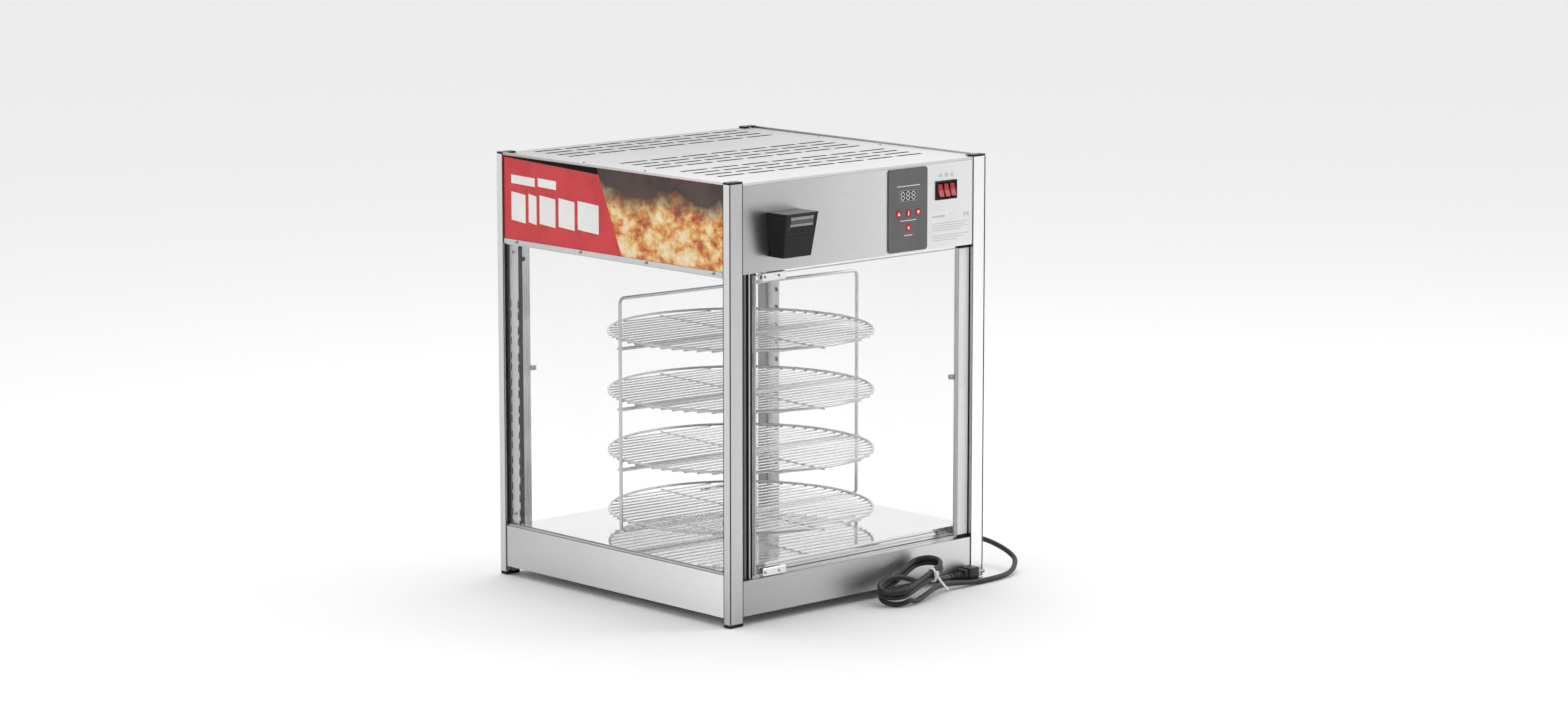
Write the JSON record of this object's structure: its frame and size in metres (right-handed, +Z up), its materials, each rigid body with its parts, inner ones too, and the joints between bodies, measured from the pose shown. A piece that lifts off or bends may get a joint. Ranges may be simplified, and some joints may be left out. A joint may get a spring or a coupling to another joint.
{
  "type": "rotating heated display case",
  "caption": "Countertop glass-walled food warmer with a turning tiered wire rack, swinging glass doors, header signs, a control panel and a water hopper.",
  "frame": {"origin": "middle of the bottom of the whole case, water hopper included and cord left out, at the height of the surface it stands on", "axes": "+Z up; the control panel, hopper and front door face -Y; +X to the right seen from the control side"},
  "size_m": [0.6557, 0.6512, 0.711],
  "materials": {
    "satin_aluminium": "satin anodised",
    "brushed_steel": "brushed stainless",
    "polished_steel": "mirror polished",
    "chromed_wire": "chromed wire",
    "clear_glass": "clear tempered",
    "black_plastic": "fine satin",
    "red_plastic": "glossy",
    "graphite_film": "satin film",
    "sign_print": "printed film",
    "motor_black": "black paint",
    "cord_rubber": "satin",
    "white_nylon": "natural nylon"
  },
  "bodies": {
    "case": {"post_front_left": "satin_aluminium", "post_cap_front_left": "black_plastic", "foot_front_left": "black_plastic", "post_front_right": "satin_aluminium", "post_cap_front_right": "black_plastic", "foot_front_right": "black_plastic", "post_rear_left": "satin_aluminium", "post_cap_rear_left": "black_plastic", "foot_rear_left": "black_plastic", "post_rear_right": "satin_aluminium", "post_cap_rear_right": "black_plastic", "foot_rear_right": "black_plastic", "door_front_catch": "brushed_steel", "door_rear_catch": "brushed_steel", "roof_panel": "brushed_steel", "control_panel": "brushed_steel", "rear_panel": "brushed_steel", "chamber_ceiling": "brushed_steel", "base_tray": "brushed_steel", "water_pan": "brushed_steel", "sign_left": "sign_print", "sign_right": "sign_print", "chamber_floor": "polished_steel", "heater": "polished_steel", "side_glass_left": "clear_glass", "side_glass_right": "clear_glass", "lamp_strip_left": "satin_aluminium", "lamp_strip_right": "satin_aluminium", "switch_frame": "black_plastic", "hopper": "black_plastic", "controller": "graphite_film", "fan_motor": "motor_black", "gearmotor": "motor_black", "cord_gland": "cord_rubber", "cord_lead": "cord_rubber", "cord_hank": "cord_rubber", "cord_tail": "cord_rubber", "plug": "cord_rubber", "cable_tie": "white_nylon"},
    "turntable": {"drive_hub": "polished_steel", "rack_frame": "chromed_wire", "rack_1": "chromed_wire", "rack_2": "chromed_wire", "rack_3": "chromed_wire", "rack_4": "chromed_wire"},
    "front_door": {"door_front_glass": "clear_glass", "door_front_clamp_top": "polished_steel", "door_front_clamp_bottom": "polished_steel"},
    "rear_door": {"door_rear_glass": "clear_glass", "door_rear_clamp_top": "polished_steel", "door_rear_clamp_bottom": "polished_steel"},
    "lid": {"hopper_lid": "black_plastic"},
    "heat_rocker": {"rocker_heat": "red_plastic"},
    "lamp_rocker": {"rocker_lamp": "red_plastic"},
    "turn_rocker": {"rocker_turn": "red_plastic"},
    "up_key": {"button_up": "red_plastic"},
    "set_key": {"button_set": "red_plastic"},
    "down_key": {"button_down": "red_plastic"},
    "lamp_key": {"button_lamp": "red_plastic"},
    "fan": {"fan_wheel": "brushed_steel"}
  },
  "joints": [
    {"name": "rack_turn", "type": "hinge", "parent": "case", "child": "turntable", "pos_m": [0, 0.022, 0.1], "axis": [0, 0, 1], "continuous": true},
    {"name": "front_door_hinge", "type": "hinge", "parent": "case", "child": "front_door", "pos_m": [-0.205, -0.2565, 0.3175], "axis": [0, 0, -1], "range_deg": [0, 110]},
    {"name": "rear_door_hinge", "type": "hinge", "parent": "case", "child": "rear_door", "pos_m": [0.205, 0.3005, 0.3175], "axis": [0, 0, -1], "range_deg": [0, 110]},
    {"name": "lid_hinge", "type": "hinge", "parent": "case", "child": "lid", "pos_m": [-0.169, -0.2638, 0.6568], "axis": [-1, 0, 0], "range_deg": [0, 88]},
    {"name": "heat_switch", "type": "hinge", "parent": "case", "child": "heat_rocker", "pos_m": [0.1803, -0.2616, 0.659], "axis": [1, 0, 0], "range_deg": [0, 16]},
    {"name": "lamp_switch", "type": "hinge", "parent": "case", "child": "lamp_rocker", "pos_m": [0.1942, -0.2616, 0.659], "axis": [1, 0, 0], "range_deg": [0, 16]},
    {"name": "turn_switch", "type": "hinge", "parent": "case", "child": "turn_rocker", "pos_m": [0.2081, -0.2616, 0.659], "axis": [1, 0, 0], "range_deg": [0, 16]},
    {"name": "up_press", "type": "slide", "parent": "case", "child": "up_key", "axis": [0, 1, 0], "range_m": [0, 0.0008], "stiffness_N_per_m": 400},
    {"name": "set_press", "type": "slide", "parent": "case", "child": "set_key", "axis": [0, 1, 0], "range_m": [0, 0.0008], "stiffness_N_per_m": 400},
    {"name": "down_press", "type": "slide", "parent": "case", "child": "down_key", "axis": [0, 1, 0], "range_m": [0, 0.0008], "stiffness_N_per_m": 400},
    {"name": "lamp_press", "type": "slide", "parent": "case", "child": "lamp_key", "axis": [0, 1, 0], "range_m": [0, 0.0008], "stiffness_N_per_m": 400},
    {"name": "fan_spin", "type": "hinge", "parent": "case", "child": "fan", "pos_m": [0, 0.022, 0.58], "axis": [0, 0, 1], "continuous": true}
  ]
}
